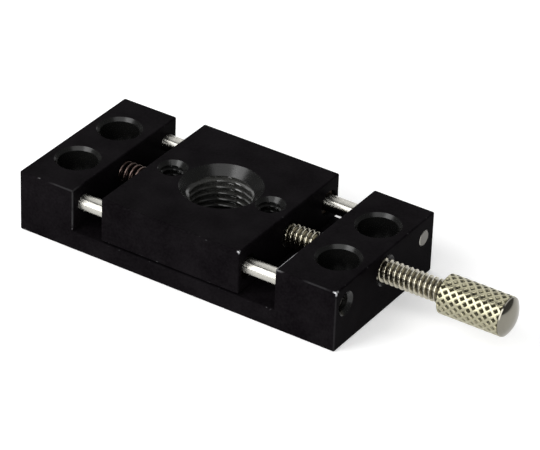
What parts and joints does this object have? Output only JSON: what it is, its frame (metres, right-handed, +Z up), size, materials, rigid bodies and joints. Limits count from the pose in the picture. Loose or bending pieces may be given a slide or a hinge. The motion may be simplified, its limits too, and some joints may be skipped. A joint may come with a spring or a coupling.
{
  "type": "linear translation stage",
  "caption": "Miniature linear translation stage: a threaded carriage on guide rods in a channel base, driven by a knurled screw against a return spring.",
  "frame": {"origin": "centre of the base's footprint, on its underside", "axes": "+X along the travel, towards the knurled knob; +Y towards the rear guide rod; +Z up, out of the carriage's top face"},
  "size_m": [0.0914, 0.0318, 0.0127],
  "materials": {
    "black_anodise": "black anodised, satin",
    "rod_steel": "ground and polished",
    "screw_steel": "turned stainless steel",
    "knob_steel": "knurled stainless steel",
    "spring_wire": "tempered spring wire",
    "black_oxide": "black oxide",
    "bearing_bronze": "sintered bronze",
    "hardened_steel": "hardened and ground"
  },
  "bodies": {
    "base": {"base_body": "black_anodise", "guide_rod_front": "rod_steel", "guide_rod_rear": "rod_steel", "rod_set_screw_front_left": "black_oxide", "rod_set_screw_front_right": "black_oxide", "rod_set_screw_rear_left": "black_oxide", "rod_set_screw_rear_right": "black_oxide", "return_spring": "spring_wire"},
    "carriage": {"carriage_block": "black_anodise", "bushing_front_left": "bearing_bronze", "bushing_front_right": "bearing_bronze", "bushing_rear_left": "bearing_bronze", "bushing_rear_right": "bearing_bronze", "thrust_pad": "hardened_steel"},
    "screw": {"adjuster_screw": "screw_steel", "screw_ball_tip": "hardened_steel", "knurled_knob": "knob_steel"}
  },
  "joints": [
    {"name": "carriage_slide", "type": "slide", "parent": "base", "child": "carriage", "axis": [1, 0, 0], "range_m": [-0.00575, 0.00695], "deforming": ["return_spring"]},
    {"name": "knob_turn", "type": "hinge", "parent": "carriage", "child": "screw", "pos_m": [0.05, 0, 0.0082], "axis": [1, 0, 0], "range_deg": [-2072, 2504]}
  ],
  "couplings": [
    {"joint": "knob_turn", "follows": "carriage_slide", "rad_per_m": 6283.2}
  ]
}
